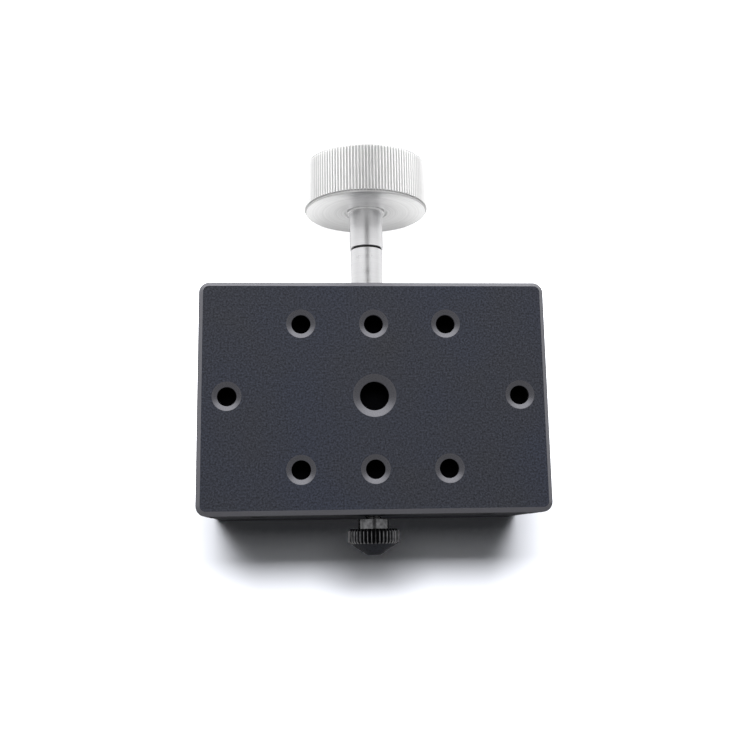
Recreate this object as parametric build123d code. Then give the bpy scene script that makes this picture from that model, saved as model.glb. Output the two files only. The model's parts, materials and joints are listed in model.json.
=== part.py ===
from build123d import *
import os
from math import acos, ceil, cos, pi, radians, sin, tan

# Rack-and-pinion linear translation stage with a dovetail guide. Millimetres.
# Origin: centre of the base's underside. +X: direction of travel. +Y: towards the knob. +Z: up.

os.makedirs("parts", exist_ok=True)

# ---- Driving dimensions -------------------------------------------------------------------------

# Overall body
body_length = 60.0
body_width = 40.0
body_height = 30.0
base_height = 18.0
slider_gap = 0.4
base_corner_radius = 2.0
slider_corner_radius = 1.8
top_edge_chamfer = 0.8
lower_edge_chamfer = 0.3
base_edge_chamfer = 0.5

# Travel each way from the middle
travel = 18.0

# Dovetail guide
dovetail_angle = 60.0
rail_half_width = 11.5
rail_top_height = 5.6
ceiling_gap = 0.4
rail_edge_flat = 0.4
guide_clearance = 0.03
gib_thickness = 3.0
gib_back_gap = 0.15
gib_end_gap = 0.5
gib_foot_gap = 0.3

# Hole grid of the table: M4 tapping holes round an M6 tapping hole
grid_pitch = 12.5
m4_tap_radius = 1.65
m4_mouth_radius = 2.5
m6_tap_radius = 2.5
m6_mouth_radius = 3.7
table_hole_depth = 5.0

# Mounting holes of the base, for M4 cap screws from above
mount_pitch_x = 48.0
mount_pitch_y = 28.0
mount_hole_radius = 2.25
mount_head_radius = 3.75
mount_head_depth = 4.4

# Rack and pinion, 20 degree pressure angle, profile-shifted so that the small pinion isn't undercut
axis_height = 12.5
gear_module = 0.5
pinion_teeth = 12
profile_shift = 0.3
pressure_angle = 20.0
dedendum_factor = 1.25
backlash = 0.1
gear_width = 5.0
groove_side_gap = 0.5
groove_floor_gap = 0.75

# Rack ends and the screws that hold them
rack_foot_height = 5.5
rack_end_length = 4.8
rack_screw_radius = 1.0
rack_screw_head_radius = 1.8
rack_screw_head_height = 1.8
rack_screw_engagement = 3.2
screw_head_gap = 0.15

# Pinion shaft and its bearings
shaft_radius = 2.0
tail_radius = 1.5
shoulder_length = 0.25
running_clearance = 0.02
sleeve_bore_clearance = 0.1
sleeve_radius = 4.0
sleeve_nose_radius = 3.05
sleeve_nose_length = 11.0
bush_radius = 3.0
front_bush_length = 8.0
end_bush_length = 5.0
washer_thickness = 0.5
axial_clearance = 0.05
turned_edge_chamfer = 0.1

# Friction washer, hub and knob
friction_washer_radius = 2.85
friction_washer_thickness = 0.2
hub_radius = 3.2
hub_length = 7.4
knob_radius = 12.0
knob_length = 9.5
knob_land_length = 0.55
knob_land_chamfer = 0.15
knob_teeth = 126
knurl_depth = 0.26
knob_recess_radius = 8.6
knob_recess_depth = 0.8
knob_pocket_radius = 4.6
knob_pocket_depth = 3.1
knob_boss_radius = 3.6
knob_boss_length = 0.2
hub_pin_radius = 0.6
hub_pin_distance = 3.6

# Screw and washer on the end of the shaft
knob_screw_radius = 1.25
knob_screw_head_radius = 2.25
knob_screw_head_height = 1.9
knob_screw_engagement = 6.0
knob_washer_radius = 3.6

# Set screws (M3) of the gib and of the sleeve
set_screw_radius = 1.5
set_screw_length = 3.5
dog_radius = 1.0
dog_length = 1.9
dog_clearance = 0.1
dimple_depth = 0.9
hex_socket_radius = 0.87
hex_socket_depth = 1.6
gib_screw_spacing = 40.0
sleeve_screw_position = 14.0

# Lock: M3 thumbscrew and pad, at the height of the gib's middle
lock_thread_radius = 1.45
lock_pad_clearance = 0.05
lock_pad_length = 3.4
lock_open_gap = 0.5
lock_seat_gap = 0.6
lock_stem_radius = 2.65
lock_stem_length = 1.75
lock_head_radius = 4.5
lock_head_length = 2.5
lock_teeth = 40
lock_knurl_depth = 0.45
lock_cone_radius = 3.95
lock_cone_length = 1.9
lock_cone_end_radius = 1.1
lock_dimple_radius = 0.45
lock_dimple_depth = 0.35

# Travel stop
stop_pin_radius = 1.2
stop_pin_offset = 7.2
stop_pin_seat = 2.8
stop_slot_depth = 2.0
stop_pin_floor_gap = 0.3
stop_side_gap = 0.25

# ---- Derived sizes ------------------------------------------------------------------------------

flank_slope = 1 / tan(radians(dovetail_angle))
rail_top = base_height + rail_top_height
ceiling = rail_top + ceiling_gap
slider_bottom = base_height + slider_gap
lock_height = (slider_bottom + ceiling) / 2
half_width = body_width / 2

gear_pitch = pi * gear_module
pitch_radius = gear_module * pinion_teeth / 2
tip_radius = pitch_radius + gear_module * (1 + profile_shift)
root_radius = pitch_radius - gear_module * (dedendum_factor - profile_shift)
gear_base_radius = pitch_radius * cos(radians(pressure_angle))
datum_height = axis_height + pitch_radius + gear_module * profile_shift
rack_tip = datum_height - gear_module
rack_root = datum_height + gear_module * dedendum_factor
mesh_reach = gear_pitch
rack_teeth = 2 * ceil((travel + mesh_reach) / gear_pitch - 0.5) + 1
rack_toothed_half = rack_teeth * gear_pitch / 2
rack_foot = ceiling - rack_foot_height
rack_screw_x = rack_toothed_half + rack_screw_head_radius + screw_head_gap

groove_half_width = gear_width / 2 + groove_side_gap
groove_floor = rack_tip - groove_floor_gap

pinion_end = gear_width / 2
shoulder_end = pinion_end + shoulder_length
washer_start = shoulder_end + axial_clearance
sleeve_start = washer_start + washer_thickness
tail_start = -pinion_end - shoulder_length
end_bush_start = tail_start - axial_clearance
end_bush_end = end_bush_start - end_bush_length
bore_end = end_bush_end - axial_clearance
sleeve_end = half_width + sleeve_nose_length
friction_start = sleeve_end + axial_clearance
hub_start = friction_start + friction_washer_thickness
knob_start = hub_start + hub_length
knob_end = knob_start + knob_length
pocket_floor = knob_end - knob_pocket_depth
shaft_end = pocket_floor - axial_clearance
hub_pin_y = hub_start + hub_pin_distance


def rail_half_width_at(z):
    """Half width of the male dovetail at a height."""
    return rail_half_width - (rail_top - z) * flank_slope


gib_inner = rail_half_width_at(lock_height) + guide_clearance
gib_outer = gib_inner + gib_thickness
gib_screw_tip = -gib_outer + dimple_depth
lock_pad_front = -gib_outer - lock_open_gap
lock_pad_back = lock_pad_front - lock_pad_length
lock_stem_start = -half_width - lock_seat_gap


# ---- Shared shapes ------------------------------------------------------------------------------


def block(x_range, y_range, z_range):
    """A box between two corners."""
    (x0, x1), (y0, y1), (z0, z1) = x_range, y_range, z_range
    centre = Pos((x0 + x1) / 2, (y0 + y1) / 2, (z0 + z1) / 2)
    return centre * Box(x1 - x0, y1 - y0, z1 - z0)


def upright(radius, x, y, z0, z1):
    """A cylinder along Z."""
    return Pos(x, y, (z0 + z1) / 2) * Cylinder(radius, z1 - z0)


def crosswise(radius, x, z, y0, y1):
    """A cylinder along Y."""
    return Pos(x, (y0 + y1) / 2, z) * Rot(X=90) * Cylinder(radius, abs(y1 - y0))


def turned(outline, z=axis_height):
    """A solid turned about an axis along Y, from (radius, y) points."""
    section = make_face(Polyline(*outline, close=True))
    return Pos(0, 0, z) * revolve(section, Axis.Y)


def milled(outline, length):
    """A prism along X, centred, from (y, z) points."""
    section = make_face(Polyline(*outline, close=True))
    return Rot(Z=90) * Rot(X=90) * extrude(section, amount=length / 2, both=True)


def ring(outer, inner, y0, y1):
    """A washer or plain bush about the pinion's axis."""
    return turned([(inner, y0), (outer, y0), (outer, y1), (inner, y1)])


def countersunk_hole(x, y, radius, mouth_radius):
    """Cutter for a tapping hole in the table, with a 45 degree mouth."""
    slope = mouth_radius - radius
    profile = [
        (0, -table_hole_depth),
        (radius, -table_hole_depth),
        (radius, -slope),
        (mouth_radius, 0),
        (mouth_radius, 1),
        (0, 1),
    ]
    section = make_face(Polyline(*profile, close=True))
    return Pos(x, y, body_height) * Rot(X=90) * revolve(section, Axis.Y)


def knurled(radius, depth, teeth, y0, y1, z):
    """A straight-knurled rim along Y from y0 to y1, with square-ended teeth."""
    step = pi / teeth
    points = []
    for i in range(2 * teeth):
        r = radius - depth * (i % 2)
        points.append((r * cos(i * step), r * sin(i * step)))
    rim = extrude(make_face(Polyline(*points, close=True)), amount=y1 - y0)
    return Pos(0, y0, z) * Rot(X=-90) * rim


def hex_socket(depth):
    """Cutter for a hexagon socket, down from the origin along -Z."""
    return extrude(RegularPolygon(hex_socket_radius, 6), amount=-depth)


def set_screw():
    """Socket set screw with a dog point: dog tip at the origin, socket at the far end along +Z."""
    dog = upright(dog_radius, 0, 0, 0, dog_length)
    body = upright(set_screw_radius, 0, 0, dog_length, dog_length + set_screw_length)
    socket = Pos(0, 0, dog_length + set_screw_length) * hex_socket(hex_socket_depth)
    return dog + body - socket


def mirrored_x(distance):
    return (-distance, distance)


# ---- Base and its guide -------------------------------------------------------------------------


def make_base():
    block_shape = extrude(RectangleRounded(body_length, body_width, base_corner_radius),
                          amount=base_height)
    block_shape = chamfer(block_shape.faces().sort_by(Axis.Z)[0].edges(), base_edge_chamfer)
    block_shape = chamfer(block_shape.faces().sort_by(Axis.Z)[-1].edges(), lower_edge_chamfer)
    neck = rail_half_width_at(base_height)
    edge = rail_half_width_at(rail_top - rail_edge_flat)
    rail = milled([(-neck, base_height), (neck, base_height), (edge, rail_top - rail_edge_flat),
                   (edge, rail_top), (-edge, rail_top), (-edge, rail_top - rail_edge_flat)],
                  body_length - 2 * lower_edge_chamfer)
    base = block_shape + rail
    base -= block(mirrored_x(body_length), (-groove_half_width, groove_half_width),
                  (groove_floor, rail_top + 1))
    base -= crosswise(sleeve_radius, 0, axis_height, end_bush_start, body_width)
    base -= crosswise(bush_radius, 0, axis_height, bore_end, 0)
    slot_length = 2 * (travel + stop_pin_radius)
    slot = SlotOverall(slot_length + 2 * stop_side_gap, 2 * (stop_pin_radius + stop_side_gap))
    base -= Pos(0, stop_pin_offset, rail_top - stop_slot_depth) * extrude(slot, amount=2 * stop_slot_depth)
    base -= upright(set_screw_radius, 0, sleeve_screw_position, -1, axis_height - sleeve_radius / 2)
    for place in GridLocations(mount_pitch_x, mount_pitch_y, 2, 2).locations:
        x, y = place.position.X, place.position.Y
        base -= upright(mount_hole_radius, x, y, -1, base_height)
        base -= upright(mount_head_radius, x, y, base_height - mount_head_depth, base_height + 1)
    return base


def make_slider():
    body = extrude(RectangleRounded(body_length, body_width, slider_corner_radius),
                   amount=body_height - slider_bottom)
    body = chamfer(body.faces().sort_by(Axis.Z)[-1].edges(), top_edge_chamfer)
    body = chamfer(body.faces().sort_by(Axis.Z)[0].edges(), lower_edge_chamfer)
    body = Pos(0, 0, slider_bottom) * body
    below = slider_bottom - 1
    near_low = -rail_half_width_at(below) - guide_clearance - gib_thickness - gib_back_gap
    near_high = -rail_half_width_at(ceiling) - guide_clearance - gib_thickness - gib_back_gap
    far_low = rail_half_width_at(below) + guide_clearance
    far_high = rail_half_width_at(ceiling) + guide_clearance
    body -= milled([(near_low, below), (far_low, below), (far_high, ceiling), (near_high, ceiling)],
                   2 * body_length)
    for x in (-grid_pitch, 0, grid_pitch):
        for y in (-grid_pitch, grid_pitch):
            body -= countersunk_hole(x, y, m4_tap_radius, m4_mouth_radius)
    for x in mirrored_x(2 * grid_pitch):
        body -= countersunk_hole(x, 0, m4_tap_radius, m4_mouth_radius)
    body -= countersunk_hole(0, 0, m6_tap_radius, m6_mouth_radius)
    for x in (-gib_screw_spacing / 2, 0, gib_screw_spacing / 2):
        body -= crosswise(set_screw_radius, x, lock_height, -body_width, -gib_outer + 1)
    for x in mirrored_x(rack_screw_x):
        body -= upright(rack_screw_radius, x, 0, ceiling - 1, ceiling + rack_screw_engagement)
    body -= upright(stop_pin_radius, 0, stop_pin_offset, ceiling - 1, ceiling + stop_pin_seat)
    return body


def make_gib():
    low = slider_bottom + gib_foot_gap
    high = ceiling - gib_foot_gap
    inner_low = -rail_half_width_at(low) - guide_clearance
    inner_high = -rail_half_width_at(high) - guide_clearance
    gib = milled([(inner_low, low), (inner_high, high),
                  (inner_high - gib_thickness, high), (inner_low - gib_thickness, low)],
                 body_length - 2 * gib_end_gap)
    for x in mirrored_x(gib_screw_spacing / 2):
        gib -= crosswise(dog_radius + dog_clearance, x, lock_height, -body_width, gib_screw_tip)
    return gib


def make_gib_screws():
    return [Pos(x, gib_screw_tip, lock_height) * Rot(X=90) * set_screw()
            for x in mirrored_x(gib_screw_spacing / 2)]


def make_stop_pin():
    tip = rail_top - stop_slot_depth + stop_pin_floor_gap
    return upright(stop_pin_radius, 0, stop_pin_offset, tip, ceiling + stop_pin_seat)


# ---- Rack ---------------------------------------------------------------------------------------


def make_rack():
    tooth_half = (pi * gear_module / 2 - backlash) / 2
    slope = tan(radians(pressure_angle))
    tip_half = tooth_half - gear_module * slope
    root_half = tooth_half + gear_module * dedendum_factor * slope
    end = rack_toothed_half + rack_end_length
    outline = [(end, rack_foot), (end, ceiling), (-end, ceiling), (-end, rack_foot),
               (-rack_toothed_half, rack_foot), (-rack_toothed_half, rack_root)]
    for i in range(rack_teeth):
        x = (i - (rack_teeth - 1) / 2) * gear_pitch
        outline += [(x - root_half, rack_root), (x - tip_half, rack_tip),
                    (x + tip_half, rack_tip), (x + root_half, rack_root)]
    outline += [(rack_toothed_half, rack_root), (rack_toothed_half, rack_foot)]
    section = make_face(Polyline(*outline, close=True))
    rack = Rot(X=90) * extrude(section, amount=gear_width / 2, both=True)
    for x in mirrored_x(rack_screw_x):
        rack -= upright(rack_screw_radius, x, 0, rack_foot - 1, ceiling + 1)
    return rack


def make_rack_screws():
    screws = []
    for x in mirrored_x(rack_screw_x):
        head_bottom = rack_foot - rack_screw_head_height
        screw = upright(rack_screw_radius, x, 0, rack_foot, ceiling + rack_screw_engagement)
        screw += upright(rack_screw_head_radius, x, 0, head_bottom, rack_foot)
        screw -= Pos(x, 0, head_bottom) * Rot(X=180) * hex_socket(rack_screw_head_height / 2)
        screws.append(screw)
    return screws


# ---- Pinion shaft and its bearings --------------------------------------------------------------


def involute(radius):
    """Involute function of a point of the flank at a radius."""
    angle = acos(gear_base_radius / radius)
    return tan(angle) - angle


def pinion_outline():
    """Outline of the toothed pinion, with a tooth space straight above its axis."""
    tooth_thickness = gear_module * (pi / 2 + 2 * profile_shift * tan(radians(pressure_angle)))
    half_tooth = tooth_thickness / (2 * pitch_radius) + involute(pitch_radius)
    flank_steps = 3
    flank = [(root_radius, half_tooth)]
    for i in range(flank_steps + 1):
        radius = gear_base_radius + (tip_radius - gear_base_radius) * i / flank_steps
        flank.append((radius, half_tooth - involute(radius)))
    points = []
    for tooth in range(pinion_teeth):
        middle = 2 * pi * (tooth + 0.5) / pinion_teeth + pi / 2
        points += [(r * cos(middle - a), r * sin(middle - a)) for r, a in flank]
        points += [(r * cos(middle + a), r * sin(middle + a)) for r, a in reversed(flank)]
    return points


def make_pinion_shaft():
    gear = extrude(make_face(Polyline(*pinion_outline(), close=True)), amount=gear_width / 2, both=True)
    gear = Pos(0, 0, axis_height) * Rot(X=90) * gear
    tail_end = end_bush_end
    bevel = turned_edge_chamfer
    shoulder = shaft_radius + shoulder_length
    shaft = turned([(0, tail_end), (tail_radius - bevel, tail_end), (tail_radius, tail_end + bevel),
                    (tail_radius, tail_start), (shoulder, tail_start), (shoulder, shoulder_end),
                    (shaft_radius, shoulder_end), (shaft_radius, shaft_end - bevel),
                    (shaft_radius - bevel, shaft_end), (0, shaft_end)])
    shaft += gear
    shaft -= crosswise(knob_screw_radius, 0, axis_height, shaft_end - knob_screw_engagement, shaft_end + 1)
    shaft -= hub_pin_cutter()
    return shaft


def hub_pin_cutter():
    return Pos(0, hub_pin_y, axis_height) * Rot(Y=90) * Cylinder(hub_pin_radius, 4 * hub_radius)


def make_pinion_sleeve():
    bore = shaft_radius + sleeve_bore_clearance
    bush_end = sleeve_start + front_bush_length
    bevel = turned_edge_chamfer
    sleeve = turned([(bush_radius, sleeve_start), (sleeve_radius, sleeve_start),
                     (sleeve_radius, half_width - bevel), (sleeve_radius - bevel, half_width),
                     (sleeve_nose_radius, half_width), (sleeve_nose_radius, sleeve_end - bevel),
                     (sleeve_nose_radius - bevel, sleeve_end), (bore, sleeve_end),
                     (bore, bush_end), (bush_radius, bush_end)])
    dog_seat = axis_height - sleeve_radius + dimple_depth
    sleeve -= upright(dog_radius + dog_clearance, 0, sleeve_screw_position, 0, dog_seat)
    return sleeve


def make_front_bush():
    return ring(bush_radius, shaft_radius + running_clearance,
                sleeve_start, sleeve_start + front_bush_length)


def make_end_bush():
    return ring(bush_radius, tail_radius + running_clearance, end_bush_end, end_bush_start)


def make_thrust_washer():
    return ring(sleeve_radius - 2 * sleeve_bore_clearance, shaft_radius + sleeve_bore_clearance,
                washer_start, sleeve_start)


def make_sleeve_screw():
    dog_tip = axis_height - sleeve_radius + dimple_depth
    return Pos(0, sleeve_screw_position, dog_tip) * Rot(X=180) * set_screw()


# ---- Friction washer, hub and knob --------------------------------------------------------------


def make_friction_washer():
    return ring(friction_washer_radius, shaft_radius + sleeve_bore_clearance, friction_start, hub_start)


def make_hub():
    bevel = turned_edge_chamfer
    hub = turned([(shaft_radius, hub_start), (hub_radius - bevel, hub_start),
                  (hub_radius, hub_start + bevel), (hub_radius, pocket_floor),
                  (shaft_radius, pocket_floor)])
    return hub - hub_pin_cutter()


def make_hub_pin():
    length = 2 * hub_radius - 2 * turned_edge_chamfer
    return Pos(0, hub_pin_y, axis_height) * Rot(Y=90) * Cylinder(hub_pin_radius, length)


def make_knob():
    land = knob_radius - 1.25 * knurl_depth
    bevel = knob_land_chamfer
    rim = turned([(0, knob_start), (land - bevel, knob_start), (land, knob_start + bevel),
                  (land, knob_end - bevel), (land - bevel, knob_end), (0, knob_end)])
    rim += knurled(knob_radius, knurl_depth, knob_teeth, knob_start + knob_land_length,
                   knob_end - knob_land_length, axis_height)
    boss = crosswise(knob_boss_radius, 0, axis_height, knob_start - knob_boss_length, pocket_floor)
    recess = knob_end - knob_recess_depth
    inside = turned([(0, knob_start - 1), (hub_radius, knob_start - 1), (hub_radius, pocket_floor),
                     (knob_pocket_radius, pocket_floor), (knob_pocket_radius, recess),
                     (knob_recess_radius - knob_recess_depth, recess),
                     (knob_recess_radius, knob_end), (knob_recess_radius, knob_end + 1),
                     (0, knob_end + 1)])
    return rim + boss - inside


def make_knob_washer():
    return ring(knob_washer_radius, knob_screw_radius, pocket_floor, pocket_floor + washer_thickness)


def make_knob_screw():
    head_start = pocket_floor + washer_thickness
    head_end = head_start + knob_screw_head_height
    screw = crosswise(knob_screw_radius, 0, axis_height, shaft_end - knob_screw_engagement, head_start)
    screw += crosswise(knob_screw_head_radius, 0, axis_height, head_start, head_end)
    screw -= Pos(0, head_end, axis_height) * Rot(X=-90) * hex_socket(knob_screw_head_height / 2)
    return screw


# ---- Lock ---------------------------------------------------------------------------------------


def make_lock_pad():
    radius = set_screw_radius - lock_pad_clearance
    pad = crosswise(radius, 0, lock_height, lock_pad_back, lock_pad_front + radius)
    reach = 2 * radius
    low = lock_pad_front + reach * flank_slope
    high = lock_pad_front - reach * flank_slope
    far = lock_pad_front + 2 * reach
    pad -= milled([(low, lock_height - reach), (far, lock_height - reach),
                   (far, lock_height + reach), (high, lock_height + reach)], 4 * radius)
    return pad


def make_lock_thumbscrew():
    stem_end = lock_stem_start - lock_stem_length
    head_end = stem_end - lock_head_length
    tip = head_end - lock_cone_length
    core = turned([(0, lock_pad_back - axial_clearance),
                   (lock_thread_radius, lock_pad_back - axial_clearance),
                   (lock_thread_radius, lock_stem_start),
                   (lock_stem_radius, lock_stem_start), (lock_stem_radius, head_end),
                   (lock_cone_radius, head_end), (lock_cone_end_radius, tip),
                   (lock_dimple_radius, tip), (0, tip + lock_dimple_depth)], lock_height)
    head = knurled(lock_head_radius, lock_knurl_depth, lock_teeth, head_end, stem_end, lock_height)
    return core + head


# ---- Export -------------------------------------------------------------------------------------

parts = {
    "base": make_base(),
    "slider": make_slider(),
    "gib": make_gib(),
    "gib_screws": make_gib_screws(),
    "stop_pin": make_stop_pin(),
    "rack": make_rack(),
    "rack_screws": make_rack_screws(),
    "pinion_shaft": make_pinion_shaft(),
    "pinion_sleeve": make_pinion_sleeve(),
    "front_bush": make_front_bush(),
    "end_bush": make_end_bush(),
    "thrust_washer": make_thrust_washer(),
    "sleeve_screw": make_sleeve_screw(),
    "friction_washer": make_friction_washer(),
    "hub": make_hub(),
    "hub_pin": make_hub_pin(),
    "knob": make_knob(),
    "knob_washer": make_knob_washer(),
    "knob_screw": make_knob_screw(),
    "lock_pad": make_lock_pad(),
    "lock_thumbscrew": make_lock_thumbscrew(),
}

for name, shape in parts.items():
    if isinstance(shape, list):
        shape = Compound(children=shape)
    export_step(shape, f"parts/{name}.step")
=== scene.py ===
"""Finished look of a rack-and-pinion linear translation stage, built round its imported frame."""

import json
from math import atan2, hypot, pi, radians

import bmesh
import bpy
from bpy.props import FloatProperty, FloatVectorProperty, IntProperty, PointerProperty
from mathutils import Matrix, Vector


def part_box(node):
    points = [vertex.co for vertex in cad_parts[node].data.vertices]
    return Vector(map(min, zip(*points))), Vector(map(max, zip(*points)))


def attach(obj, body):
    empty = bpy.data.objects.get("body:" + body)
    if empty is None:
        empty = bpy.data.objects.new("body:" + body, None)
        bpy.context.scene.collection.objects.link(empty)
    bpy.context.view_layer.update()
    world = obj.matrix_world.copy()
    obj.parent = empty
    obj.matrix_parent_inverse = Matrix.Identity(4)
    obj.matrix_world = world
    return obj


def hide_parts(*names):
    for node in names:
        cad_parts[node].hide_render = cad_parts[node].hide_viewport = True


bl_info = {
    "name": "Linear Stage Finish",
    "version": (1, 0, 0),
    "blender": (4, 5, 0),
    "location": "View3D > Sidebar > Linear Stage",
    "description": "Machined, anodised and turned pieces of a linear translation stage",
    "category": "Object",
}

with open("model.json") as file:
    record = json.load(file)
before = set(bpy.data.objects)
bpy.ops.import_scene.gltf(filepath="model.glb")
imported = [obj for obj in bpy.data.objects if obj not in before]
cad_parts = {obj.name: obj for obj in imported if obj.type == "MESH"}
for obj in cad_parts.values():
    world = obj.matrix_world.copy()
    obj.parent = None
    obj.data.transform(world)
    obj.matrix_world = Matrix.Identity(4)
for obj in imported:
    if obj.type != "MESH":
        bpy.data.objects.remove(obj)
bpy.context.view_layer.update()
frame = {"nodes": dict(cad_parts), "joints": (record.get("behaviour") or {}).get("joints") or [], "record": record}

MM = 0.001
MERGE = 2e-7
MOUNTS = {mount["name"]: mount for mount in frame["record"]["mounts"]}
JOINTS = {joint["name"]: joint for joint in frame["joints"]}
BODIES = {node: body for body, nodes in frame["record"]["behaviour"]["bodies"].items()
          for node in nodes}
KNOB_AXIS = Vector(JOINTS["knob_turn"]["pos_m"])
LOCK_AXIS = Vector(JOINTS["lock_turn"]["pos_m"])

# Places of the materials on the pieces that have several
# SHADED_BORE holds the walls deep in the holes, painted near-black as painted shade
PLAIN, MACHINED, SHADED_BORE, MOUTH = 0, 1, 2, 3
WAYS = 1
# SHADED: faces painted darker as painted shade, the knob's knurl grooves and plain rims and the thumbscrew's knurl
# grooves
SHADED, TIP = 1, 2
CONE, RIM = 2, 3

# Fixed values of the meshes and of the floor, with angles in degrees
TOOTH_STEPS = 6
TIP_SHARE = 0.4
SIDE_SHARE = 0.4
FLAT_ANGLE = 0.4
HARD_ANGLE = 30
FLAT_AREA = 0.01 * MM * MM
SLOPING = (0.6, 0.9)
UNDERSIDE = -0.95
FLOOR_BLEND = 4


# ---- Sizes and colours that a user would change -------------------------------------------------


def length(name, description, millimetres):
    return FloatProperty(name=name, description=description, default=millimetres * MM,
                         unit="LENGTH", precision=5)


def colour(name, description, value):
    return FloatVectorProperty(name=name, description=description, default=value, size=3,
                               subtype="COLOR", min=0, max=1)


class TableSizes(bpy.types.PropertyGroup):
    edge_ease: length("Edge ease", "Broken edge of the milled blocks", 0.06)
    thread_start: length("Thread start",
                         "Depth at which the threads begin, under the countersink", 0.75)
    mouth_depth: length("Mouth depth", "The countersinks end above this depth", 1.5)
    mouth_slope: FloatProperty(name="Mouth slope", default=0.6,
                               description="Depth of the countersinks, as a share of the frame's")
    m4_radius: length("M4 radius", "Outer radius of the M4 threads", 1.98)
    m4_pitch: length("M4 pitch", "Pitch of the M4 threads", 0.7)
    m6_radius: length("M6 radius", "Outer radius of the M6 thread", 2.98)
    m6_pitch: length("M6 pitch", "Pitch of the M6 thread", 1.0)
    hole_depth: length("Hole depth", "Depth of the tapped holes", 5.0)
    thread_steps: IntProperty(name="Thread steps",
                              description="Facets round one turn", default=40, min=12)


class KnobSizes(bpy.types.PropertyGroup):
    teeth: IntProperty(name="Knurl teeth",
                       description="Straight knurl teeth round the rim", default=126)
    depth: length("Knurl depth", "Depth of the knurl", 0.32)
    land_drop: length("Land drop", "Depth of the plain rims under the tips of the teeth", 0.34)
    tooth_end: length("Tooth end",
                      "Length over which the ends of the teeth rise from the rims", 0.05)
    land_length: length("Land length", "Plain rims that the knurl leaves free at both faces", 0.45)
    boss_radius: length("Boss radius", "Thin boss round the hub", 3.6)
    boss_length: length("Boss length", "Height of the boss", 0.2)
    undercut_width: length("Undercut width", "Width of the undercut round the boss", 0.55)
    undercut_depth: length("Undercut depth", "Depth of the undercut round the boss", 0.5)
    recess_radius: length("Recess radius", "Radius of the recess in the outer face", 8.6)
    recess_depth: length("Recess depth", "Depth of the recess", 0.8)
    pocket_radius: length("Pocket radius", "Radius of the pocket of the end screw", 4.6)
    ease: length("Edge ease", "Broken edges of the turned pieces", 0.07)


class LockSizes(bpy.types.PropertyGroup):
    teeth: IntProperty(name="Knurl teeth",
                       description="Teeth round the thumbscrew's head", default=40)
    depth: length("Knurl depth", "Depth of the knurl", 0.5)
    stem_radius: length("Stem radius", "Radius of the plain stem", 2.65)
    stem_length: length("Stem length", "Length of the plain stem", 1.75)
    head_length: length("Head length", "Width of the knurled rim", 2.5)
    head_chamfer: length("Head chamfer", "Turned chamfer of the rim", 0.42)
    cone_radius: length("Cone radius", "Radius at the cone's root", 4.0)
    cone_length: length("Cone length", "Length of the conical end", 1.9)
    cone_end_radius: length("Cone end radius", "Radius at the cone's end", 1.1)
    dimple_radius: length("Dimple radius", "Centre dimple of the cone", 0.45)
    dimple_depth: length("Dimple depth", "Depth of the centre dimple", 0.35)
    thread_radius: length("Thread radius", "Outer radius of the M3 thread", 1.45)
    thread_root: length("Thread root", "Root radius of the M3 thread", 1.2)
    thread_pitch: length("Thread pitch", "Pitch of the M3 thread", 0.5)
    thread_steps: IntProperty(name="Thread steps", description="Facets round one turn", default=32,
                              min=12)
    ease: length("Edge ease", "Broken edges of the thumbscrew", 0.06)


class Finishes(bpy.types.PropertyGroup):
    black: colour("Black anodise", "Bead-blasted and anodised faces", (0.0165, 0.0172, 0.0205))
    black_blue: colour("Blue cast",
                       "Light speckle in the bluer clouds of the anodise", (0.0275, 0.031, 0.044))
    black_edge: colour("Machined black", "Anodised faces cut after blasting", (0.105, 0.105, 0.118))
    black_mouth: colour("Fine black", "Countersinks of the table and ways of the dovetail",
                        (0.05, 0.05, 0.057))
    # Painted shade: near-black for the walls and threads deep in the tapped holes and the grooves of the
    # thumbscrew's knurl
    painted_shade_black: colour("Bore", "Anodised walls deep in the tapped holes", (0.0008, 0.0008, 0.001))
    aluminium: colour("Aluminium", "Knob", (0.92, 0.92, 0.92))
    tips: colour("Knurl tips", "Tips of the knob's knurl", (0.84, 0.84, 0.84))
    # Painted shade in part: darker than the knob's aluminium on the knurl's grooves, plain rims and outer face,
    # besides their rougher pressed finish
    pressed_and_shaded: colour("Pressed aluminium",
                    "Knurl's grooves and outer face of the knob", (0.55, 0.55, 0.55))
    steel: colour("Steel", "Sleeve, hub and shaft", (0.72, 0.72, 0.73))
    brass: colour("Brass", "Rack, gib and bushes", (0.70, 0.50, 0.22))
    oxide: colour("Black oxide", "Set screws and the thumbscrew's stem", (0.135, 0.135, 0.14))
    rim: colour("Rim oxide", "Knurled rim of the thumbscrew", (0.13, 0.13, 0.136))
    fibre: colour("Fibre", "Friction washer", (0.012, 0.011, 0.010))


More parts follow.
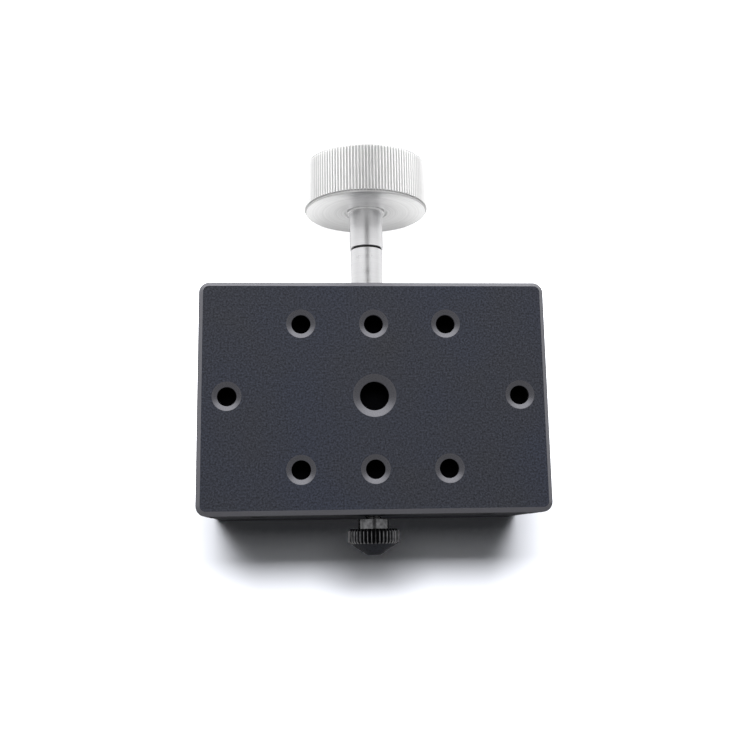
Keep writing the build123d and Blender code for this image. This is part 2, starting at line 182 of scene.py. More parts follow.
class StudioSettings(bpy.types.PropertyGroup):
    camera_place: FloatVectorProperty(name="Camera place",
                                      description="Place of the camera", size=3,
                                      default=(-10.652 * MM, -24.376 * MM, 187.576 * MM),
                                      subtype="XYZ", unit="LENGTH", precision=5)
    camera_tilt: FloatVectorProperty(name="Camera tilt",
                                     description="Tilt from straight down", size=3,
                                     default=(radians(10.033), radians(-3.841), radians(-0.274)),
                                     subtype="EULER", unit="ROTATION")
    focal_length: FloatProperty(name="Focal length",
                                description="Lens on a 36 mm sensor", default=45.12)
    key_place: FloatVectorProperty(name="Key place",
                                   description="Centre of the rear soft box", size=3,
                                   default=(-20 * MM, 195 * MM, 500 * MM), subtype="XYZ",
                                   unit="LENGTH")
    key_size: FloatVectorProperty(name="Key size",
                                  description="Width and depth of the rear soft box",
                                  size=2, default=(330 * MM, 180 * MM), unit="LENGTH")
    key_power: FloatProperty(name="Key power",
                             description="Power of the rear soft box", default=6.0)
    top_place: FloatVectorProperty(name="Top place",
                                   description="Centre of the overhead soft box", size=3,
                                   default=(-20 * MM, 90 * MM, 500 * MM), subtype="XYZ",
                                   unit="LENGTH")
    top_size: FloatVectorProperty(name="Top size",
                                  description="Width and depth of the overhead soft box",
                                  size=2, default=(330 * MM, 160 * MM), unit="LENGTH")
    top_power: FloatProperty(name="Top power",
                             description="Power of the overhead soft box", default=0.5)
    ambient: FloatProperty(name="Ambient", description="Strength of the surround on matt faces",
                           default=0.03)
    front_level: FloatProperty(name="Front level", description="Surround in front, in reflections",
                               default=0.8)
    rear_level: FloatProperty(name="Rear level", description="Surround behind, in reflections",
                              default=5.6)
    gap_place: FloatVectorProperty(name="Gap place",
                                   description="X and Y of the direction to the gap's middle",
                                   size=2, default=(0.05, 0.16))
    gap_level: FloatProperty(name="Gap level", description="Surround in the gap, in reflections",
                             default=0.2)
    gap_width: FloatProperty(name="Gap width",
                             description="Half width of the gap, as an X of the direction",
                             default=0.24)
    gap_length: FloatProperty(name="Gap length",
                              description="Length of the gap for its width", default=2.2)
    floor_white: colour("Floor white", "How the camera sees the floor", (0.92, 0.94, 1.0))
    floor_grey: colour("Floor grey", "How the part sees the floor", (0.35, 0.35, 0.35))
    floor_near: FloatProperty(name="Floor near",
                              description="Light of the floor round the part, in reflections",
                              default=0.5)
    floor_glow: FloatProperty(name="Floor glow",
                              description="Light of the floor far behind, in reflections",
                              default=1.0)
    glow_start: length("Glow start", "Y place at which that light begins", 75.0)
    glow_end: length("Glow end", "Y place at which that light is full", 140.0)
    haze_start: length("Haze start",
                       "Distance from the part at which the floor fades to white", 115.0)
    haze_end: length("Haze end", "Distance from the part at which the floor is white", 220.0)
    floor_clear: length("Floor clear", "The floor behind this Y place shows no shadow", -19.0)


# ---- Meshes -------------------------------------------------------------------------------------


def low(node):
    return Vector(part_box(node)[0])


def high(node):
    return Vector(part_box(node)[1])


def eased(profile, ease, sharp=()):
    """The outline with a small two-step round at each corner, but not at the sharp ones or on the
    axis."""
    count = len(profile)
    out = []
    for i, point in enumerate(profile):
        here = Vector(point)
        before = Vector(profile[i - 1]) - here
        after = Vector(profile[(i + 1) % count]) - here
        if point in sharp or here.x < MERGE:
            out.append(point)
            continue
        cut = min(ease, before.length * SIDE_SHARE, after.length * SIDE_SHARE)
        start = here + before.normalized() * cut
        end = here + after.normalized() * cut
        out += [tuple(start), tuple((start + end + here * 2) / 4), tuple(end)]
    return out


def turn(profile, axis, steps):
    """A closed solid turned about an axis along Y, from a closed outline of (radius, y) points."""
    bm = bmesh.new()
    verts = [bm.verts.new((axis.x + r, y, axis.z)) for r, y in profile]
    for i, vert in enumerate(verts):
        bm.edges.new((vert, verts[(i + 1) % len(verts)]))
    bmesh.ops.spin(bm, geom=bm.verts[:] + bm.edges[:], cent=axis, axis=(0, 1, 0), angle=2 * pi,
                   steps=steps, use_merge=True)
    bmesh.ops.remove_doubles(bm, verts=bm.verts[:], dist=MERGE)
    bmesh.ops.recalc_face_normals(bm, faces=bm.faces[:])
    return bm


def knurl(bm, axis, radius, depth, teeth, middle, slope=1.0):
    """Presses V grooves into the rim of a turned solid that has TOOTH_STEPS steps to a tooth. The
    rim's vertices lie at the radius, on both sides of the middle. The slope is the length of the
    end chamfers for their depth."""
    steepness, land = 1.5, 0.25
    for vert in bm.verts:
        across = vert.co - axis
        if abs(hypot(across.x, across.z) - radius) > MERGE * 10:
            continue
        place = (atan2(across.z, across.x) * teeth / (2 * pi) + 0.5 / TOOTH_STEPS) % 1
        toward_root = 1 - abs(2 * place - 1)
        sunk = depth * min(max(steepness * toward_root - land, 0), 1)
        vert.co.x = axis.x + across.x * (radius - sunk) / radius
        vert.co.z = axis.z + across.z * (radius - sunk) / radius
        vert.co.y += sunk * slope if vert.co.y > middle else -sunk * slope


def threaded_rod(radius, root, pitch, top, bottom, steps):
    """A closed rod along Z with a 60 degree thread, from bottom to top."""
    bm = bmesh.new()
    flat = pitch / 8
    z = bottom - 2 * pitch
    rows = []
    while z < top + 2 * pitch:
        crest = z + pitch / 2
        rows += [(root, z), (root, z + flat), (radius, crest), (radius, crest + flat)]
        z += pitch
    rows.append((root, z))
    verts = [bm.verts.new((r, 0, height)) for r, height in rows]
    for a, b in zip(verts, verts[1:]):
        bm.edges.new((a, b))
    bmesh.ops.spin(bm, geom=bm.verts[:] + bm.edges[:], cent=(0, 0, 0), axis=(0, 0, 1),
                   dvec=(0, 0, pitch / steps), angle=2 * pi, steps=steps, use_merge=False)
    bmesh.ops.remove_doubles(bm, verts=bm.verts[:], dist=MERGE * 5)
    for height, side in ((top, 1), (bottom, -1)):
        bmesh.ops.bisect_plane(bm, geom=bm.verts[:] + bm.edges[:] + bm.faces[:], dist=MERGE,
                               plane_co=(0, 0, height), plane_no=(0, 0, side), clear_outer=True)
    bmesh.ops.holes_fill(bm, edges=[edge for edge in bm.edges if edge.is_boundary], sides=0)
    bmesh.ops.recalc_face_normals(bm, faces=bm.faces[:])
    return bm


def join_into(target, source, matrix=Matrix.Identity(4)):
    """Adds one bmesh to another, placed by a matrix."""
    mesh = bpy.data.meshes.new("joined")
    source.to_mesh(mesh)
    mesh.transform(matrix)
    target.from_mesh(mesh)
    bpy.data.meshes.remove(mesh)
    source.free()


def merged_copy(node):
    """A bmesh of a CAD node with its triangles joined into whole faces."""
    bm = bmesh.new()
    bm.from_mesh(frame["nodes"][node].data)
    bmesh.ops.remove_doubles(bm, verts=bm.verts[:], dist=MERGE)
    bmesh.ops.dissolve_limit(bm, angle_limit=radians(FLAT_ANGLE), verts=bm.verts[:],
                             edges=bm.edges[:])
    for face in bm.faces:
        face.material_index = PLAIN
    return bm


def to_object(name, bm):
    mesh = bpy.data.meshes.new(name)
    bm.to_mesh(mesh)
    bm.free()
    piece = bpy.data.objects.new(name, mesh)
    bpy.context.scene.collection.objects.link(piece)
    return piece


def cut(piece, cutter_mesh):
    """Subtracts one closed mesh from a piece, with the result applied."""
    cutter = to_object("cutter", cutter_mesh)
    modifier = piece.modifiers.new("Cut", "BOOLEAN")
    modifier.operation = "DIFFERENCE"
    modifier.solver = "EXACT"
    modifier.object = cutter
    graph = bpy.context.evaluated_depsgraph_get()
    mesh = bpy.data.meshes.new_from_object(piece.evaluated_get(graph))
    piece.modifiers.clear()
    old = piece.data
    piece.data = mesh
    mesh.name = old.name
    bpy.data.meshes.remove(old)
    bpy.data.objects.remove(cutter)


def shade(piece, angle=28):
    """Smooth shading with sharp edges above an angle in degrees."""
    for polygon in piece.data.polygons:
        polygon.use_smooth = True
    piece.data.set_sharp_from_angle(angle=radians(angle))


def soften(piece, width, weighted=False):
    """A narrow bevel on the hard edges, with normals that keep the wide faces flat."""
    bevel = piece.modifiers.new("Edges", "BEVEL")
    bevel.width = width
    bevel.segments = 2
    bevel.limit_method = "WEIGHT" if weighted else "ANGLE"
    bevel.angle_limit = radians(HARD_ANGLE)
    bevel.miter_outer = "MITER_ARC"
    flat = piece.modifiers.new("Flat faces", "WEIGHTED_NORMAL")
    flat.mode = "FACE_AREA"
    flat.weight = 90
    flat.thresh = FLAT_AREA
    flat.keep_sharp = True


def finish(piece, node, *materials):
    """Gives a piece its materials and lets it stand for a CAD node, on that node's body."""
    piece.data.materials.clear()
    for material in materials:
        piece.data.materials.append(material)
    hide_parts(node)
    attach(piece, BODIES[node])


def dress_copy(node, material, ease):
    """A CAD node's own shape with broken edges and smooth round faces."""
    piece = to_object(node + "_finished", merged_copy(node))
    shade(piece, HARD_ANGLE)
    soften(piece, ease)
    finish(piece, node, material)
    return piece


# ---- Materials ----------------------------------------------------------------------------------


class Nodes:
    """Adds linked nodes to a shader tree."""

    def __init__(self, tree):
        self.tree = tree

    def link(self, output, socket):
        self.tree.links.new(output, socket)

    def add(self, kind):
        return self.tree.nodes.new("ShaderNode" + kind)

    def spread(self, value, bottom, top, from_low=0.3, from_high=0.7, smooth=False):
        """Maps a pattern's usual range to a range of values."""
        node = self.add("MapRange")
        node.interpolation_type = "SMOOTHSTEP" if smooth else "LINEAR"
        node.inputs["From Min"].default_value = from_low
        node.inputs["From Max"].default_value = from_high
        node.inputs["To Min"].default_value = bottom
        node.inputs["To Max"].default_value = top
        self.link(value, node.inputs["Value"])
        return node.outputs["Result"]

    def tint(self, factor, first, second):
        node = self.add("Mix")
        node.data_type = "RGBA"
        node.inputs["A"].default_value = (*first, 1)
        node.inputs["B"].default_value = (*second, 1)
        self.link(factor, node.inputs["Factor"])
        return node.outputs["Result"]

    def combine(self, operation, first, second):
        """A Math node on two outputs, or on an output and a number."""
        node = self.add("Math")
        node.operation = operation
        self.link(first, node.inputs[0])
        if isinstance(second, (int, float)):
            node.inputs[1].default_value = second
        else:
            self.link(second, node.inputs[1])
        return node.outputs["Value"]

    def size(self, vector):
        """Length of a vector output."""
        node = self.add("VectorMath")
        node.operation = "LENGTH"
        self.link(vector, node.inputs[0])
        return node.outputs["Value"]

    def toward(self, vector, direction):
        """Dot product of a vector output with a fixed direction."""
        node = self.add("VectorMath")
        node.operation = "DOT_PRODUCT"
        self.link(vector, node.inputs[0])
        node.inputs[1].default_value = direction
        return node.outputs["Value"]


class Surface(Nodes):
    """A material with a Principled shader, patterned in millimetres on the object's coordinates."""

    def __init__(self, name):
        self.material = bpy.data.materials.new(name)
        self.material.use_nodes = True
        super().__init__(self.material.node_tree)
        self.shader = self.tree.nodes["Principled BSDF"]
        self.mapping = self.add("Mapping")
        self.mapping.inputs["Scale"].default_value = (1 / MM, 1 / MM, 1 / MM)
        self.link(self.add("TexCoord").outputs["Object"], self.mapping.inputs["Vector"])
        self.place = self.mapping.outputs["Vector"]

    def set(self, **values):
        """Sets inputs of the shader by name, with _ for a space."""
        for name, value in values.items():
            self.shader.inputs[name.replace("_", " ")].default_value = value

    def noise(self, scale, detail=2.0, roughness=0.5, place=None):
        texture = self.add("TexNoise")
        texture.inputs["Scale"].default_value = scale
        texture.inputs["Detail"].default_value = detail
        texture.inputs["Roughness"].default_value = roughness
        self.link(place or self.place, texture.inputs["Vector"])
        return texture.outputs["Fac"]

    def bump(self, height, strength, distance):
        node = self.add("Bump")
        node.inputs["Strength"].default_value = strength
        node.inputs["Distance"].default_value = distance
        self.link(height, node.inputs["Height"])
        return node.outputs["Normal"]

    def lathe_lines(self, axis):
        """Coordinates that run across the tool marks of a piece turned about an axis along Y."""
        self.mapping.inputs["Location"].default_value = (-axis.x / MM, 0, -axis.z / MM)
        parts = self.add("SeparateXYZ")
        self.link(self.place, parts.inputs["Vector"])
        flat = self.add("CombineXYZ")
        self.link(parts.outputs["X"], flat.inputs["X"])
        self.link(parts.outputs["Z"], flat.inputs["Z"])
        across = self.add("CombineXYZ")
        self.link(self.size(flat.outputs["Vector"]), across.inputs["X"])
        self.link(parts.outputs["Y"], across.inputs["Y"])
        return across.outputs["Vector"]


def darker(value, factor):
    return tuple(channel * factor for channel in value)


def blasted_black(finishes):
    """Bead-blasted black anodise: fine speckle, faint clouds of blue, soft sheen."""
    surface = Surface("blasted_black_anodise")
    grain = surface.noise(3.2, detail=4.0, roughness=0.75)
    clouds = surface.noise(0.06)
    base = tuple(finishes.black)
    speckle = surface.spread(grain, 0.0, 1.0, from_low=0.36, from_high=0.64)
    dark = surface.tint(clouds, darker(base, 0.4), darker(base, 0.5))
    light = surface.add("Mix")
    light.data_type = "RGBA"
    surface.link(speckle, light.inputs["Factor"])
    surface.link(dark, light.inputs["A"])
    blue = tuple(finishes.black_blue)
    surface.link(surface.tint(surface.spread(clouds, 0, 1), darker(base, 1.75), blue),
                 light.inputs["B"])
    surface.link(light.outputs["Result"], surface.shader.inputs["Base Color"])
    surface.link(surface.spread(clouds, 0.6, 0.7), surface.shader.inputs["Roughness"])
    surface.link(surface.bump(grain, 0.6, 0.06 * MM), surface.shader.inputs["Normal"])
    surface.set(Specular_IOR_Level=0.1)
    return surface.material


def machined_black(name, base, rough):
    """Black faces that were cut after blasting, smoother and a little lighter than the others."""
    surface = Surface(name)
    marks = surface.noise(14.0)
    surface.link(surface.tint(surface.spread(marks, 0, 1), darker(base, 0.8), darker(base, 1.25)),
                 surface.shader.inputs["Base Color"])
    surface.link(surface.spread(marks, rough - 0.05, rough + 0.05),
                 surface.shader.inputs["Roughness"])
    surface.link(surface.bump(marks, 0.2, 0.01 * MM), surface.shader.inputs["Normal"])
    surface.set(Metallic=0.6)
    return surface.material


def painted_shade_black_material(finishes):
    """Walls and threads deep in a tapped hole, and the thumbscrew's knurl grooves: painted shade, near-black and
    with almost no reflection.
    """
    surface = Surface("painted_shade_anodise")
    marks = surface.noise(3.0)
    base = tuple(finishes.painted_shade_black)
    surface.link(surface.tint(surface.spread(marks, 0, 1), darker(base, 0.6), darker(base, 1.4)),
                 surface.shader.inputs["Base Color"])
    surface.set(Roughness=0.7, Specular_IOR_Level=0.02)
    return surface.material


def turned_metal(name, base, rough, axis, mark_scale=16.0, mark_depth=0.25):
    """Metal with the fine rings that a lathe leaves."""
    surface = Surface(name)
    across = surface.lathe_lines(axis)
    marks = surface.noise(mark_scale, roughness=0.6, place=across)
    broad = surface.noise(1.1, place=across)
    dust = surface.noise(0.8, detail=3.0)
    surface.link(surface.tint(surface.spread(marks, 0, 1), darker(base, 0.86), base),
                 surface.shader.inputs["Base Color"])
    uneven = surface.combine("ADD", surface.spread(broad, rough - 0.04, rough + 0.04),
                             surface.spread(dust, -0.02, 0.04))
    surface.link(uneven, surface.shader.inputs["Roughness"])
    surface.link(surface.bump(marks, mark_depth, 0.008 * MM), surface.shader.inputs["Normal"])
    surface.set(Metallic=1.0)
    return surface.material


def milled_metal(name, base, rough):
    """Metal with the long faint lines of a milling or grinding pass along X."""
    surface = Surface(name)
    stretch = 0.05
    surface.mapping.inputs["Scale"].default_value = (stretch / MM, 1 / MM, 1 / MM)
    marks = surface.noise(12.0, detail=3.0, roughness=0.6)
    stain = surface.noise(0.4, detail=3.0)
    surface.link(surface.tint(surface.spread(stain, 0, 1), darker(base, 0.78), base),
                 surface.shader.inputs["Base Color"])
    surface.link(surface.spread(marks, rough - 0.06, rough + 0.08),
                 surface.shader.inputs["Roughness"])
    surface.link(surface.bump(marks, 0.25, 0.01 * MM), surface.shader.inputs["Normal"])
    surface.set(Metallic=1.0)
    return surface.material


def oxide_black(name, base):
    """Blackened steel: dark, slightly metallic and uneven."""
    surface = Surface(name)
    blotch = surface.noise(1.6, detail=3.0)
    fine = surface.noise(18.0)
    surface.link(surface.tint(surface.spread(blotch, 0, 1), darker(base, 0.6), darker(base, 1.5)),
                 surface.shader.inputs["Base Color"])
    surface.link(surface.spread(blotch, 0.09, 0.15), surface.shader.inputs["Roughness"])
    surface.link(surface.bump(fine, 0.2, 0.008 * MM), surface.shader.inputs["Normal"])
    surface.set(Metallic=0.95)
    return surface.material


def fibre_brown(finishes):
    """Pressed fibre of the friction washer."""
    surface = Surface("dark_fibre")
    strands = surface.noise(7.0, detail=4.0, roughness=0.7)
    base = tuple(finishes.fibre)
    surface.link(surface.tint(surface.spread(strands, 0, 1), darker(base, 0.5), darker(base, 1.7)),
                 surface.shader.inputs["Base Color"])
    surface.link(surface.spread(strands, 0.75, 0.92), surface.shader.inputs["Roughness"])
    surface.link(surface.bump(strands, 0.5, 0.02 * MM), surface.shader.inputs["Normal"])
    return surface.material


def shared(name, maker, *arguments):
    """A material by name, made the first time that it is asked for."""
    return bpy.data.materials.get(name) or maker(*arguments)


def steel(finishes):
    return shared("turned_steel", turned_metal, "turned_steel", tuple(finishes.steel), 0.31,
                  KNOB_AXIS)


def brass(finishes):
    return shared("milled_brass", milled_metal, "milled_brass", tuple(finishes.brass), 0.3)


def blackened(finishes):
    return shared("oxide_black_steel", oxide_black, "oxide_black_steel", tuple(finishes.oxide))


def rim_black(finishes):
    return shared("knurled_black_steel", oxide_black, "knurled_black_steel", tuple(finishes.rim))


def blasted(finishes):
    return shared("blasted_black_anodise", blasted_black, finishes)


def machined(finishes):
    return shared("chamfer_black_anodise", machined_black, "chamfer_black_anodise",
                  tuple(finishes.black_edge), 0.35)


def countersunk(finishes):
    return shared("countersink_black_anodise", machined_black, "countersink_black_anodise",
                  tuple(finishes.black_mouth), 0.3)


def painted_shade_black(finishes):
    return shared("painted_shade_anodise", painted_shade_black_material, finishes)


# ---- Operators ----------------------------------------------------------------------------------


def hole_places(mount):
    """Hole centres of a rectangle or line of holes."""
    dims = mount["dims"]
    centre = Vector(mount["pos_m"])
    half_x = dims.get("spacing_x_mm", 0) * MM / 2
    half_y = dims.get("spacing_y_mm", 0) * MM / 2
    places = {(centre.x + sx * half_x, centre.y + sy * half_y) for sx in (-1, 1) for sy in (-1, 1)}
    return sorted(places)


def mark_faces(piece, material_of):
    for polygon in piece.data.polygons:
        polygon.material_index = material_of(polygon)


def weigh_edges(piece, wanted):
    """Marks for the bevel the hard edges whose middle is wanted."""
    mesh = piece.data
    bm = bmesh.new()
    bm.from_mesh(mesh)
    weights = bm.edges.layers.float
    layer = weights.get("bevel_weight_edge") or weights.new("bevel_weight_edge")
    for edge in bm.edges:
        hard = len(edge.link_faces) == 2 and edge.calc_face_angle(0) > radians(HARD_ANGLE)
        middle = (edge.verts[0].co + edge.verts[1].co) / 2
        edge[layer] = 1.0 if hard and wanted(middle) else 0.0
    bm.to_mesh(mesh)
    bm.free()


class LINEARSTAGE_OT_table(bpy.types.Operator):
    """Cuts the threads of the table, breaks its edges and gives it its black finishes"""

    bl_idname = "linearstage.table"
    bl_label = "Table"

    def execute(self, context):
        sizes = context.scene.stage_table
        top = high("slider").z
        slack, mouth_edge, under_thread = 0.03 * MM, 0.1 * MM, 0.5 * MM
        taps = bmesh.new()
        holes = []
        for name in ("table_corner_threads", "table_middle_threads", "table_end_threads"):
            radius = MOUNTS[name]["dims"]["hole_r_mm"] * MM
            holes += [(x, y, radius, sizes.m4_radius, sizes.m4_pitch)
                      for x, y in hole_places(MOUNTS[name])]
        centre = MOUNTS["table_centre_thread"]
        holes.append((centre["pos_m"][0], centre["pos_m"][1], centre["dims"]["r_mm"] * MM,
                      sizes.m6_radius, sizes.m6_pitch))
        for x, y, radius, outer, pitch in holes:
            start = top - sizes.thread_start - (outer - radius) / 2
            rod = threaded_rod(outer, radius + slack, pitch, start, top - sizes.hole_depth + slack,
                               sizes.thread_steps)
            join_into(taps, rod, Matrix.Translation((x, y, 0)))
        table = merged_copy("slider")
        for vert in table.verts:
            below = top - vert.co.z
            in_mouth = any(hypot(vert.co.x - x, vert.co.y - y) < radius + sizes.mouth_depth
                           for x, y, radius, _, _ in holes)
            if MERGE < below < sizes.mouth_depth and in_mouth:
                vert.co.z = top - below * sizes.mouth_slope
        piece = to_object("slider_finished", table)
        cut(piece, taps)

        def in_hole(point):
            return point.z > top - sizes.hole_depth - under_thread and any(
                hypot(point.x - x, point.y - y) < outer + MM for x, y, _, outer, _ in holes)

        def material_of(polygon):
            if polygon.center.z > top - MERGE or polygon.normal.z < UNDERSIDE:
                return PLAIN
            sloping = (SLOPING[0] < polygon.normal.z < SLOPING[1]
                       and polygon.center.z > top - sizes.mouth_depth)
            # Walls and threads in the holes are painted near-black: painted shade
            if in_hole(polygon.center):
                return MOUTH if sloping else SHADED_BORE
            return MACHINED if sloping else PLAIN

        shade(piece)
        weigh_edges(piece, lambda point: not in_hole(point) or point.z > top - mouth_edge)
        soften(piece, sizes.edge_ease, weighted=True)
        finishes = context.scene.stage_finishes
        finish(piece, "slider", blasted(finishes), machined(finishes), painted_shade_black(finishes),
               countersunk(finishes))
        mark_faces(piece, material_of)
        return {"FINISHED"}


class LINEARSTAGE_OT_base(bpy.types.Operator):
    """Breaks the edges of the base and its dovetail and gives it its black finishes"""

    bl_idname = "linearstage.base"
    bl_label = "Base"

    def execute(self, context):
        finishes = context.scene.stage_finishes
        piece = dress_copy("base", blasted(finishes), context.scene.stage_table.edge_ease)
        piece.data.materials.append(countersunk(finishes))
        shoulder = low("slider").z
        mark_faces(piece, lambda polygon: WAYS if polygon.center.z > shoulder else PLAIN)
        return {"FINISHED"}


class LINEARSTAGE_OT_knob(bpy.types.Operator):
    """Turns and knurls the knob"""

    bl_idname = "linearstage.knob"
    bl_label = "Knob"

    def execute(self, context):
        sizes = context.scene.stage_knob
        boss, y1 = low("knob").y, high("knob").y
        y0 = boss + sizes.boss_length
        radius = high("knob").x - KNOB_AXIS.x
        hub = high("hub").z - KNOB_AXIS.z
        floor = high("hub").y
        recess = y1 - sizes.recess_depth
        land = radius - sizes.land_drop
        ends = (y0 + sizes.land_length, y1 - sizes.land_length)
        rim = [(radius, ends[1] - sizes.tooth_end), (radius, ends[0] + sizes.tooth_end)]
        undercut = (sizes.boss_radius + sizes.undercut_width, y0 + sizes.undercut_depth)
        profile = [(hub, floor), (sizes.pocket_radius, floor), (sizes.pocket_radius, recess),
                   (sizes.recess_radius - sizes.recess_depth, recess), (sizes.recess_radius, y1),
                   (land, y1), (land, ends[1]), *rim, (land, ends[0]), (land, y0),
                   (undercut[0], y0), undercut, (sizes.boss_radius, undercut[1]),
                   (sizes.boss_radius, boss), (hub, boss)]
        bm = turn(eased(profile, sizes.ease, [*rim, (land, ends[0]), (land, ends[1])]), KNOB_AXIS,
                  TOOTH_STEPS * sizes.teeth)
        knurl(bm, KNOB_AXIS, radius, sizes.depth, sizes.teeth, (y0 + y1) / 2,
              slope=sizes.tooth_end / sizes.land_drop)
        piece = to_object("knob_finished", bm)
        shade(piece, angle=24)
        finishes = context.scene.stage_finishes
        bright, pressed_and_shaded, tips = (
            turned_metal(name, tuple(base), rough, KNOB_AXIS, mark_scale=10.0, mark_depth=0.2)
            for name, base, rough in (("turned_aluminium", finishes.aluminium, 0.36),
                                      ("pressed_shaded_aluminium", finishes.pressed_and_shaded, 0.45),
                                      ("knurl_aluminium", finishes.tips, 0.4)))
        finish(piece, "knob", bright, pressed_and_shaded, tips)

        def material_of(polygon):
            out = hypot(polygon.center.x - KNOB_AXIS.x, polygon.center.z - KNOB_AXIS.z)
            if out > radius - sizes.depth * TIP_SHARE:
                return TIP
            # The grooves, the plain rims and the outer face take the darker pressed colour: painted shade, besides
            # the rougher finish
            outer = out > land - sizes.ease or polygon.center.y > recess - sizes.ease
            return SHADED if outer else PLAIN

        mark_faces(piece, material_of)
        return {"FINISHED"}


class LINEARSTAGE_OT_spindle(bpy.types.Operator):
    """Turns the sleeve, the hub and the friction washer that show between body and knob"""

    bl_idname = "linearstage.spindle"
    bl_label = "Sleeve and hub"

    def execute(self, context):
        finishes = context.scene.stage_finishes
        ease = context.scene.stage_knob.ease / 2
        for node in ("pinion_sleeve", "hub"):
            dress_copy(node, steel(finishes), ease)
        dress_copy("friction_washer", shared("dark_fibre", fibre_brown, finishes), ease)
        return {"FINISHED"}


class LINEARSTAGE_OT_lock(bpy.types.Operator):
    """Turns and knurls the thumbscrew and cuts its thread"""

    bl_idname = "linearstage.lock"
    bl_label = "Thumbscrew"

    def execute(self, context):
        sizes = context.scene.stage_lock
        tip, back = low("lock_thumbscrew").y, high("lock_thumbscrew").y
        radius = high("lock_thumbscrew").z - LOCK_AXIS.z
        head_end = tip + sizes.cone_length
        stem_end = head_end + sizes.head_length
        stem_start = stem_end + sizes.stem_length
        edge = radius - sizes.head_chamfer
        rim = [(radius, stem_end - sizes.head_chamfer), (radius, head_end + sizes.head_chamfer)]
        profile = [(0, stem_start), (sizes.stem_radius, stem_start), (sizes.stem_radius, stem_end),
                   (edge, stem_end), *rim, (edge, head_end), (sizes.cone_radius, head_end),
                   (sizes.cone_end_radius, tip), (sizes.dimple_radius, tip),
                   (0, tip + sizes.dimple_depth)]
        bm = turn(eased(profile, sizes.ease, rim), LOCK_AXIS, TOOTH_STEPS * sizes.teeth)
        knurl(bm, LOCK_AXIS, radius, sizes.depth, sizes.teeth, (head_end + stem_end) / 2)
        sunk = 0.1 * MM
        rod = threaded_rod(sizes.thread_radius, sizes.thread_root, sizes.thread_pitch, back,
                           stem_start - sunk, sizes.thread_steps)
        lay = Matrix.Translation(LOCK_AXIS) @ Matrix.Rotation(-pi / 2, 4, "X")
        join_into(bm, rod, lay)
        piece = to_object("lock_thumbscrew_finished", bm)
        shade(piece, angle=15)
        finishes = context.scene.stage_finishes
        finish(piece, "lock_thumbscrew", blackened(finishes), painted_shade_black(finishes), blasted(finishes),
               rim_black(finishes))

        def material_of(polygon):
            out = hypot(polygon.center.x - LOCK_AXIS.x, polygon.center.z - LOCK_AXIS.z)
            # The cone takes the matt blasted black, far darker than the oxide: painted shade on the thumbscrew's
            # end
            if polygon.center.y < head_end or out < sizes.stem_radius + sizes.ease:
                return CONE if polygon.center.y < head_end else PLAIN
            # The head's front chamfer takes the plain oxide, a little lighter than the rim: a faint painted
            # highlight on the ends of the teeth
            if polygon.center.y < head_end + sizes.head_chamfer:
                return PLAIN
            # The knurl's grooves and the head's rear face take the near-black of painted shade; the tips keep the
            # rim oxide
            return SHADED if out < radius - sizes.depth * TIP_SHARE else RIM

        mark_faces(piece, material_of)
        return {"FINISHED"}


class LINEARSTAGE_OT_screws(bpy.types.Operator):
    """Finishes the set screws, the cap screws and the knob's washer"""

    bl_idname = "linearstage.screws"
    bl_label = "Screws"

    def execute(self, context):
        finishes = context.scene.stage_finishes
        ease = context.scene.stage_table.edge_ease / 2
        for node in ("gib_screws", "rack_screws", "sleeve_screw", "knob_screw"):
            dress_copy(node, blackened(finishes), ease)
        dress_copy("knob_washer", steel(finishes), ease)
        return {"FINISHED"}


class LINEARSTAGE_OT_works(bpy.types.Operator):
    """Finishes the rack, the gib, the pinion shaft, the bushes and the other inner pieces"""

    bl_idname = "linearstage.works"
    bl_label = "Inner works"

    def execute(self, context):
        finishes = context.scene.stage_finishes
        ease = context.scene.stage_table.edge_ease / 2
        for node in ("rack", "gib", "front_bush", "end_bush", "lock_pad"):
            dress_copy(node, brass(finishes), ease)
        for node in ("pinion_shaft", "stop_pin", "hub_pin", "thrust_washer"):
            dress_copy(node, steel(finishes), ease)
        return {"FINISHED"}


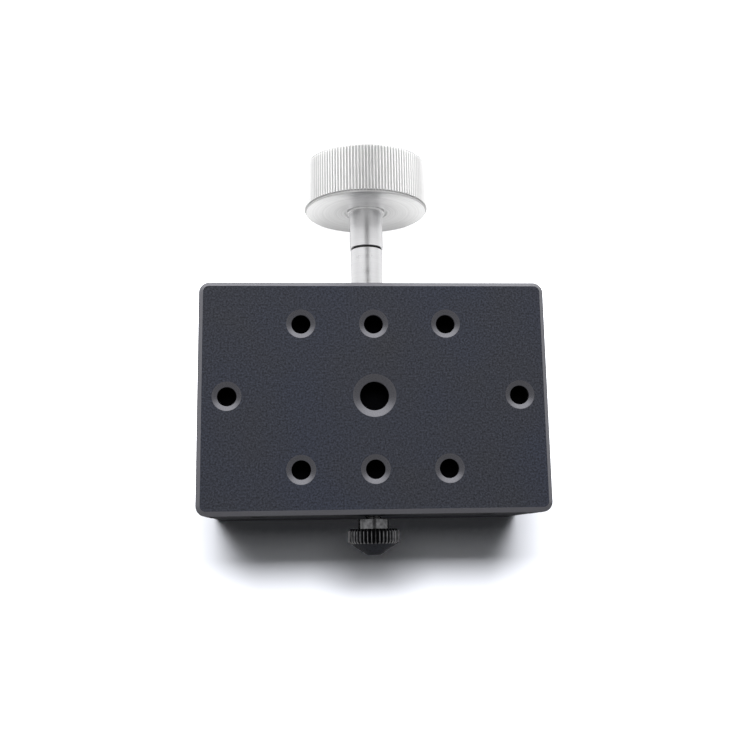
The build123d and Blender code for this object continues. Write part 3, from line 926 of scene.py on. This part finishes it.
class LINEARSTAGE_OT_studio(bpy.types.Operator):
    """Sets up the pale floor, the soft lamps, the surround and the camera"""

    bl_idname = "linearstage.studio"
    bl_label = "Studio"

    def execute(self, context):
        studio = context.scene.stage_studio
        self.floor(studio)
        self.surround(context, studio)
        self.soft_box("rear_soft_box", studio.key_place, studio.key_size, studio.key_power)
        self.soft_box("top_soft_box", studio.top_place, studio.top_size, studio.top_power)
        self.camera(context, studio)
        context.scene.view_settings.view_transform = "Standard"
        return {"FINISHED"}

    def floor(self, studio):
        """A pale floor that the camera sees as white, and without shadow behind the clear place."""
        bm = bmesh.new()
        bmesh.ops.create_grid(bm, x_segments=1, y_segments=1, size=3)
        floor = to_object("floor", bm)
        surface = Surface("pale_floor")
        seen = surface.add("LightPath").outputs["Is Camera Ray"]
        mirrored = surface.add("LightPath").outputs["Is Glossy Ray"]
        surface.link(surface.tint(seen, tuple(studio.floor_grey), tuple(studio.floor_white)),
                     surface.shader.inputs["Base Color"])
        start = studio.floor_clear / MM
        along = surface.toward(surface.place, (0, 1, 0))
        behind = surface.spread(along, 0, 1, start, start + FLOOR_BLEND, smooth=True)
        far = surface.spread(along, studio.floor_near, studio.floor_glow, studio.glow_start / MM,
                             studio.glow_end / MM, smooth=True)
        around = surface.spread(surface.size(surface.place), 0, 1, studio.haze_start / MM,
                                studio.haze_end / MM, smooth=True)
        white = surface.combine("MULTIPLY", seen, surface.combine("MAXIMUM", behind, around))
        reflected = surface.combine("MULTIPLY", behind, surface.combine("MULTIPLY", mirrored, far))
        surface.link(surface.combine("ADD", white, reflected),
                     surface.shader.inputs["Emission Strength"])
        surface.set(Roughness=1.0, Specular_IOR_Level=0, Emission_Color=(1, 1, 1, 1))
        floor.data.materials.append(surface.material)

    def surround(self, context, studio):
        """White to the camera, dim on matt faces, and in reflections brighter behind than in front,
        with a darker gap between the lamps above."""
        world = bpy.data.worlds.new("studio")
        world.use_nodes = True
        context.scene.world = world
        nodes = Nodes(world.node_tree)
        direction = nodes.add("TexCoord").outputs["Generated"]
        level = nodes.spread(nodes.toward(direction, (0, 1, 0)), studio.front_level,
                             studio.rear_level, from_low=0.25, from_high=0.95, smooth=True)
        off = nodes.add("Mapping")
        off.inputs["Location"].default_value = (-studio.gap_place[0],
                                                -studio.gap_place[1] / studio.gap_length, 0)
        off.inputs["Scale"].default_value = (1, 1 / studio.gap_length, 0)
        nodes.link(direction, off.inputs["Vector"])
        shadow = nodes.spread(nodes.size(off.outputs["Vector"]), studio.gap_level, 1,
                              from_low=studio.gap_width * 0.5, from_high=studio.gap_width * 1.5,
                              smooth=True)
        rays = nodes.add("LightPath")
        mirrored = nodes.combine("MULTIPLY", level, shadow)
        mirrored = nodes.combine("MULTIPLY", mirrored, rays.outputs["Is Glossy Ray"])
        dim = nodes.combine("MULTIPLY", rays.outputs["Is Diffuse Ray"], studio.ambient)
        strength = nodes.combine("ADD", nodes.combine("ADD", mirrored, dim),
                                 rays.outputs["Is Camera Ray"])
        nodes.link(strength, nodes.tree.nodes["Background"].inputs["Strength"])
        nodes.tree.nodes["Background"].inputs["Color"].default_value = (1, 1, 1, 1)

    def soft_box(self, name, place, size, power):
        """A rectangular lamp that faces down and shows in no reflection."""
        light = bpy.data.lights.new(name, "AREA")
        light.shape = "RECTANGLE"
        light.size, light.size_y = size
        light.energy = power
        lamp = bpy.data.objects.new(name, light)
        lamp.location = place
        lamp.visible_glossy = False
        bpy.context.scene.collection.objects.link(lamp)

    def camera(self, context, studio):
        data = bpy.data.cameras.new("camera")
        data.lens = studio.focal_length
        data.sensor_width = 36
        data.clip_start = 0.01
        camera = bpy.data.objects.new("camera", data)
        camera.rotation_mode = "ZYX"
        camera.location = studio.camera_place
        camera.rotation_euler = studio.camera_tilt
        context.scene.collection.objects.link(camera)
        context.scene.camera = camera


STEPS = (LINEARSTAGE_OT_table, LINEARSTAGE_OT_base, LINEARSTAGE_OT_knob, LINEARSTAGE_OT_spindle,
         LINEARSTAGE_OT_lock, LINEARSTAGE_OT_screws, LINEARSTAGE_OT_works, LINEARSTAGE_OT_studio)


class LINEARSTAGE_PT_panel(bpy.types.Panel):
    """Lists the stage's pieces in the sidebar"""

    bl_label = "Linear Stage"
    bl_idname = "LINEARSTAGE_PT_panel"
    bl_space_type = "VIEW_3D"
    bl_region_type = "UI"
    bl_category = "Linear Stage"

    def draw(self, context):
        for step in STEPS:
            self.layout.operator(step.bl_idname, text=step.bl_label)


GROUPS = {"stage_table": TableSizes, "stage_knob": KnobSizes, "stage_lock": LockSizes,
          "stage_finishes": Finishes, "stage_studio": StudioSettings}


def register():
    for name, group in GROUPS.items():
        bpy.utils.register_class(group)
        setattr(bpy.types.Scene, name, PointerProperty(type=group))
    for step in STEPS:
        bpy.utils.register_class(step)
    bpy.utils.register_class(LINEARSTAGE_PT_panel)


def unregister():
    bpy.utils.unregister_class(LINEARSTAGE_PT_panel)
    for step in reversed(STEPS):
        bpy.utils.unregister_class(step)
    for name, group in GROUPS.items():
        delattr(bpy.types.Scene, name)
        bpy.utils.unregister_class(group)


def main():
    register()
    bpy.ops.linearstage.table()
    bpy.ops.linearstage.base()
    bpy.ops.linearstage.knob()
    bpy.ops.linearstage.spindle()
    bpy.ops.linearstage.lock()
    bpy.ops.linearstage.screws()
    bpy.ops.linearstage.works()
    bpy.ops.linearstage.studio()


if __name__ == "__main__":
    main()
